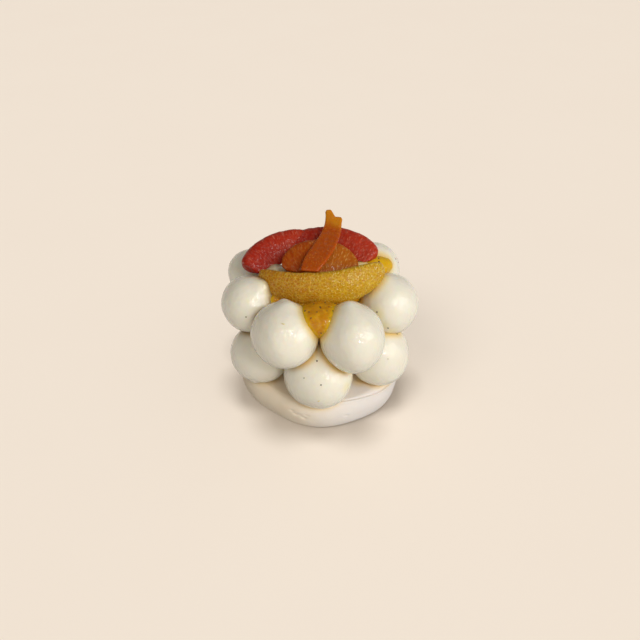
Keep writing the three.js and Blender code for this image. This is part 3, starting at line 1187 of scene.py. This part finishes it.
@dataclass
class Peel:
    """The strip of candied peel: it lies over the orange segment and stands free behind it."""

    line: tuple[Triple, ...] = ((-4.9, -11.8, 66.8), (0, -1.5, 70.3), (4.9, 11.6, 72.7), (6.2, 22.6, 78.3))
    widths: tuple[float, ...] = (7.6, 10.2, 8.6, 7.8)
    thickness: float = 1.7
    notch: float = 3.4
    notch_from: float = -0.45
    notch_to: float = 0.25
    corner: float = 1.2
    foot_slant: float = 1.6
    across_steps: int = 64
    along_steps: int = 190

    def through(self, values: Sequence, share: np.ndarray, knots: np.ndarray) -> np.ndarray:
        """A smooth curve through values at knots from 0 to 1, read at each share.

        Args:
            values: one value or row for each knot.
            share: where the curve is read.
            knots: where the values are, from 0 to 1.

        Returns:
            A row for each share.
        """
        power = np.arange(len(knots))
        weights = np.linalg.solve(knots[:, None] ** power, np.array(values, float))
        return (share[..., None] ** power) @ weights

    def build(self) -> Piece:
        """Builds the strip as a thin pillow with a notch in its free end.

        Returns:
            The object.
        """
        line = np.array(self.line, float)
        chord = np.concatenate([[0], np.cumsum(np.linalg.norm(np.diff(line, axis=0), axis=1))])
        length = chord[-1]
        side, share = np.meshgrid(np.linspace(-1, 1, self.across_steps), np.linspace(0, 1, self.along_steps))
        rounding = 1 - np.sqrt(np.clip(1 - smoothstep(np.abs(side), 0.72, 1.0) ** 2, 0, 1))
        cut = self.notch * smoothstep(side, self.notch_from, self.notch_to) + self.corner * rounding
        foot = (0.3 * rounding + self.foot_slant * (side + 1) / 2) * (1 - smoothstep(share, 0.0, 0.35))
        place = share + (foot - cut * smoothstep(share, 0.6, 1.0)) / length
        knots = chord / length
        middle = self.through(line, place, knots)
        tangent = self.through(line, place + 0.01, knots) - self.through(line, place - 0.01, knots)
        across = np.cross(tangent, (0, 0, 1))
        across /= np.linalg.norm(across, axis=-1, keepdims=True)
        outward = np.cross(across, tangent)
        outward /= np.linalg.norm(outward, axis=-1, keepdims=True)
        width = self.through([[w] for w in self.widths], share, np.linspace(0, 1, len(self.widths)))
        flat = middle + across * side[..., None] * width / 2
        edge = np.sqrt(np.clip((1 - side**10) * (1 - (2 * share - 1) ** 40), 0, 1))[..., None]
        top = flat + outward * edge * self.thickness / 2
        under = flat - outward * edge * self.thickness / 2
        count = side.size
        index = np.arange(count).reshape(side.shape)
        rim = np.zeros(side.shape, bool)
        rim[[0, -1], :] = True
        rim[:, [0, -1]] = True
        below = np.where(rim, index, index + count)
        faces = []
        for grid, order in ((index, 1), (below, -1)):
            quads = np.stack([grid[:-1, :-1], grid[:-1, 1:], grid[1:, 1:], grid[1:, :-1]], axis=-1)
            faces += quads[..., ::order].reshape(-1, 4).tolist()
        points = np.vstack([top.reshape(-1, 3), under.reshape(-1, 3)]) * MM
        piece = new_piece("candied_peel_strip", points, faces)
        store(piece, Mark.ALONG, np.tile(share.ravel(), 2))
        tree = FormTree("sugared_skin")
        pits = tree.step(tree.cells(tree.place, 1.1 * MM, feature="F1"), 0.35, 0.0) * (-0.09 * MM)
        pitted = tree.moved(tree.input("Geometry"), Offset=tree.normal * pits)
        tree.close(tree.relief(pitted, (0.22 * MM, 4 * MM), (0.05 * MM, 0.9 * MM)))
        return tree.make(piece, material=PeelFinish().material())


# Seeds, threads, juice, and the crevice mask for painted shade


@dataclass
class Scatter:
    """Tiny grains that lie on the cream and the gel, where the front shows them and all round."""

    seen_seeds: tuple[Pair, ...] = (
        (246, 317), (304, 378), (321, 385), (317, 361), (377, 312), (388, 328), (397, 334), (388, 359),
        (320, 307), (320.8, 308), (325, 303), (311, 318), (330, 318), (321, 333), (309, 312), (327, 311),
        (314, 304), (335, 304), (329, 307), (305, 311), (317, 312), (333, 311),
    )
    seen_threads: tuple[Pair, ...] = ((283, 324), (319, 401))
    around: int = 40
    bearings: Pair = (95, 262)
    heights: Pair = (15, 58)
    rises: Pair = (0.0, 0.8)
    grain: float = 0.26 * MM
    seed: int = 11

    @staticmethod
    def tree() -> FormTree:
        """The tree that puts a small turned grain at each point.

        Returns:
            The tree.
        """
        tree = FormTree("scattered_grains", radius=float, stretch=float, seed=int)
        grain = tree.field("GeometryNodeMeshIcoSphere", {"Radius": tree.input("radius"), "Subdivisions": 2})
        number = tree.field("GeometryNodeInputIndex")
        turn = tree.node("FunctionNodeRandomValue", data_type="FLOAT_VECTOR")
        size = tree.node("FunctionNodeRandomValue", data_type="FLOAT")
        for node, first, low, high in ((turn, 0, (0, 0, 0), (6.3, 6.3, 6.3)), (size, 2, 0.6, 1.25)):
            feeds = {first: low, first + 1: high, "ID": number, "Seed": tree.input("seed")}
            for key, value in feeds.items():
                tree.feed(node.inputs[key], value)
        long = tree.field("ShaderNodeCombineXYZ", {0: 1.0, 1: 1.0, 2: tree.input("stretch")})
        scale = long * Field(tree, size.outputs[1])
        feeds = {"Points": tree.input("Geometry"), "Instance": grain, "Scale": scale}
        feeds["Rotation"] = Field(tree, turn.outputs[0])
        return tree.close(tree.field("GeometryNodeInstanceOnPoints", feeds))

    def build(self, surfaces: Surfaces, studio: "Studio") -> list[Piece]:
        """Builds the seeds and the threads.

        Args:
            surfaces: what they may land on, by name.
            studio: it gives the lines of sight of the front view.

        Returns:
            One object of each kind.
        """
        seeds = [landing(*studio.ray(*spot), surfaces) for spot in self.seen_seeds]
        threads = [landing(*studio.ray(*spot), surfaces) for spot in self.seen_threads]
        random = np.random.default_rng(self.seed)
        while len(seeds) < len(self.seen_seeds) + self.around:
            a = math.radians(random.uniform(*self.bearings))
            height = random.uniform(*self.heights) * MM
            outward = Vector((math.sin(a), -math.cos(a), random.uniform(*self.rises))).normalized()
            spot = landing(Vector((0, 0, height)) + outward * 0.2, -outward, surfaces)
            if spot and spot[0].startswith(("cream", "citrus_gel")):
                seeds.append(spot)
        tree = self.tree()
        made = []
        for name, spots, stretch, finish in (
            ("vanilla_seeds", seeds, 1.3, SEED_FINISH),
            ("fruit_threads", threads, 3.2, THREAD_FINISH),
        ):
            piece = new_piece(name, np.array([spot[1] for spot in spots if spot]), [])
            values = {"radius": self.grain, "stretch": stretch, "seed": self.seed}
            made.append(tree.make(piece, **values, material=finish.material()))
        return made


@dataclass
class JuiceAndShade:
    """Where juice has run down: round the gel and the yellow segment, and in spots that the front shows; also
    how near each crevice is, where the finishes paint shade.
    """

    seen_spots: tuple[Pair, ...] = (
        (378, 314), (384, 326), (392, 331), (352, 377), (358, 382), (347, 387),
    )
    reach: float = 5 * MM
    spot_reach: float = 4.5 * MM
    crevice_reach: float = 4.5 * MM
    thin_reach: float = 2.0 * MM

    def mark(self, pieces: Sequence[Piece], surfaces: Surfaces, studio: "Studio") -> None:
        """Marks the crevices, where the finishes paint shade, and the juice stains of some pieces.

        Args:
            pieces: the pieces that are marked.
            surfaces: the surfaces of all pieces, by name.
            studio: it gives the lines of sight of the front view.
        """
        juicy = [surface for name, surface in surfaces.items() if name.startswith(("citrus_gel", "yellow"))]
        spots = [landing(*studio.ray(*spot), surfaces) for spot in self.seen_spots]
        for piece in pieces:
            others = [surface for name, surface in surfaces.items() if name != piece.name]
            stain = nearness(piece, juicy, self.reach)
            for spot in spots:
                away = np.linalg.norm(points_of(piece) - spot[1], axis=1)
                stain = np.maximum(stain, 1 - smoothstep(away, 0, self.spot_reach))
            # Painted shade mask: nearness to other pieces, which the finishes use to darken the crevices.
            store(piece, Mark.CREVICE, nearness(piece, others, self.crevice_reach))
            store(piece, Mark.STAIN, stain)


# Studio


class Reach(Enum):
    """What a lamp shines on."""

    DESSERT = "EXCLUDE"
    FLOOR = "INCLUDE"


@dataclass(frozen=True)
class Lamp:
    """A distant soft lamp: where it stands, in degrees, how broad it looks, its power and its colour.

    The casters are how the names of the pieces begin whose shadow it throws on the floor.
    """

    name: str
    reach: Reach
    azimuth: float
    elevation: float
    breadth: float
    power: float
    colour: Triple = (1.0, 1.0, 1.0)
    casters: tuple[str, ...] = ()


@dataclass
class Studio:
    """The floor, the lights and the camera, which looks down on the front."""

    elevation: float = 37.0
    distance: float = 324.07 * MM
    aim_height: float = 33.1 * MM
    frame_width: float = 296.3 * MM
    frame_pixels: int = 640
    sensor: float = 36.0
    floor_size: float = 8.0
    sky: Triple = (1.0, 0.94, 0.84)
    sky_strength: float = 0.23
    lamps: tuple[Lamp, ...] = (
        Lamp("key", Reach.DESSERT, 64, 25, 40, 1.30, (1.0, 1.0, 0.97)),
        Lamp("spark", Reach.DESSERT, 31, 42, 14, 0.8, (1.0, 0.99, 0.97)),
        Lamp("fill", Reach.DESSERT, -8, 15, 100, 1.1, (1.0, 0.95, 0.86)),
        Lamp("wash", Reach.FLOOR, 0, 90, 20, 1.33, (1.0, 0.985, 0.97)),
        Lamp("low", Reach.FLOOR, -150, 84, 150, 0.5, (1.0, 0.985, 0.97), ("meringue", "cream")),
        Lamp("side", Reach.FLOOR, -45, 50, 28, 0.55, (1.0, 0.985, 0.97), ("",)),
    )

    def towards(self, azimuth: float, elevation: float) -> Vector:
        """The direction from the dessert at an azimuth, measured from the front towards +X."""
        a, e = math.radians(azimuth), math.radians(elevation)
        return Vector((math.sin(a) * math.cos(e), -math.cos(a) * math.cos(e), math.sin(e)))

    def eye(self) -> Vector:
        """Where the camera stands."""
        return Vector((0, 0, self.aim_height)) + self.towards(0, self.elevation) * self.distance

    def ray(self, x: float, y: float) -> tuple[Vector, Vector]:
        """The camera's line of sight through a pixel of its frame.

        Args:
            x: the pixel's column.
            y: the pixel's row.

        Returns:
            The camera's place and the direction.
        """
        back = self.towards(0, self.elevation)
        right = Vector((1, 0, 0))
        scale = self.frame_width / self.frame_pixels
        middle = self.frame_pixels / 2
        seen = right * (x - middle) * scale - back.cross(right) * (y - middle) * scale
        return self.eye(), (seen - back * self.distance).normalized()

    def floor(self) -> Piece:
        """Makes the floor.

        Returns:
            The floor.
        """
        corners = np.array([(-1, -1, 0), (1, -1, 0), (1, 1, 0), (-1, 1, 0)]) * self.floor_size / 2
        floor = new_piece("floor", corners, [(0, 1, 2, 3)])
        floor.data.materials.append(FLOOR_FINISH.material())
        floor.visible_diffuse = False
        return floor

    def light(self, lamp: Lamp, floor: Piece, pieces: Sequence[Piece]) -> None:
        """Makes a lamp that shines only on the floor, or only on the dessert.

        Args:
            lamp: the lamp.
            floor: the floor.
            pieces: the pieces of the dessert.
        """
        sun = bpy.data.lights.new(lamp.name, "SUN")
        sun.angle = math.radians(lamp.breadth)
        sun.energy = lamp.power
        sun.color = lamp.colour
        holder = bpy.data.objects.new(lamp.name, sun)
        holder.rotation_euler = self.towards(lamp.azimuth, lamp.elevation).to_track_quat("Z", "Y").to_euler()
        bpy.context.scene.collection.objects.link(holder)
        lit = bpy.data.collections.new(f"{lamp.name}_reach")
        lit.objects.link(floor)
        lit.collection_objects[0].light_linking.link_state = lamp.reach.value
        holder.light_linking.receiver_collection = lit
        if lamp.reach is Reach.FLOOR:
            blocking = bpy.data.collections.new(f"{lamp.name}_shadow")
            for piece in pieces:
                if piece.name.startswith(lamp.casters):
                    blocking.objects.link(piece)
            holder.light_linking.blocker_collection = blocking

    def build(self, pieces: Sequence[Piece]) -> None:
        """Makes the floor, the lights, the world and the camera.

        Args:
            pieces: the pieces of the dessert.
        """
        scene = bpy.context.scene
        floor = self.floor()
        for lamp in self.lamps:
            self.light(lamp, floor, pieces)
        world = bpy.data.worlds.new("studio")
        world.use_nodes = True
        background = world.node_tree.nodes["Background"].inputs
        background["Color"].default_value = (*self.sky, 1.0)
        background["Strength"].default_value = self.sky_strength
        scene.world = world
        camera = bpy.data.objects.new("camera", bpy.data.cameras.new("camera"))
        camera.location = self.eye()
        camera.rotation_euler = self.towards(0, self.elevation).to_track_quat("Z", "Y").to_euler()
        camera.data.sensor_width = self.sensor
        camera.data.lens = self.sensor * self.distance / self.frame_width
        camera.data.clip_start = 1 * MM
        scene.collection.objects.link(camera)
        scene.camera = camera
        scene.view_settings.view_transform = "Standard"


# The dessert


def main() -> None:
    """Builds the dessert from the bottom up, then the studio, and reports each piece."""
    logging.basicConfig(level=logging.INFO, format="%(name)s: %(message)s")
    cream = Cream()
    cream_material = CreamFinish().material()
    meringue = Meringue().build()
    tree = cream.tree()
    lower = cream.tier("cream_lower", cream.lower, cream.lower_height, tree, cream_material)
    upper = cream.tier("cream_upper", cream.upper, cream.upper_height, tree, cream_material)
    core = cream.core(cream_material)
    gel = Gel().build()
    fruit = Fruit().build()
    peel = Peel().build()

    studio = Studio()
    dollops = [*lower, *upper]
    surfaces = {piece.name: surface_of(piece) for piece in [meringue, *dollops, core, gel, *fruit.values()]}
    juice = JuiceAndShade()
    juice.mark([*dollops, core, meringue], surfaces, studio)
    store(gel, Mark.THIN, nearness(gel, [surfaces[piece.name] for piece in upper], juice.thin_reach))

    join(meringue, Slot.MERINGUE, "meringue_base")
    for piece in dollops:
        join(piece, Slot.CREAM, piece.name.removesuffix("_piped"))
    join(core, Slot.CREAM, "cream_core")
    join(gel, Slot.GEL, "citrus_gel")
    for node, piece in fruit.items():
        join(piece, next(s.finish.slot for s in Fruit.segments if s.node == node), node)
    join(peel, Slot.PEEL, "candied_peel")
    surfaces[peel.name] = surface_of(peel)
    for piece in Scatter().build(surfaces, studio):
        join(piece, None)
    studio.build([meringue, *dollops, *fruit.values(), peel])


if __name__ == "__main__":
    main()
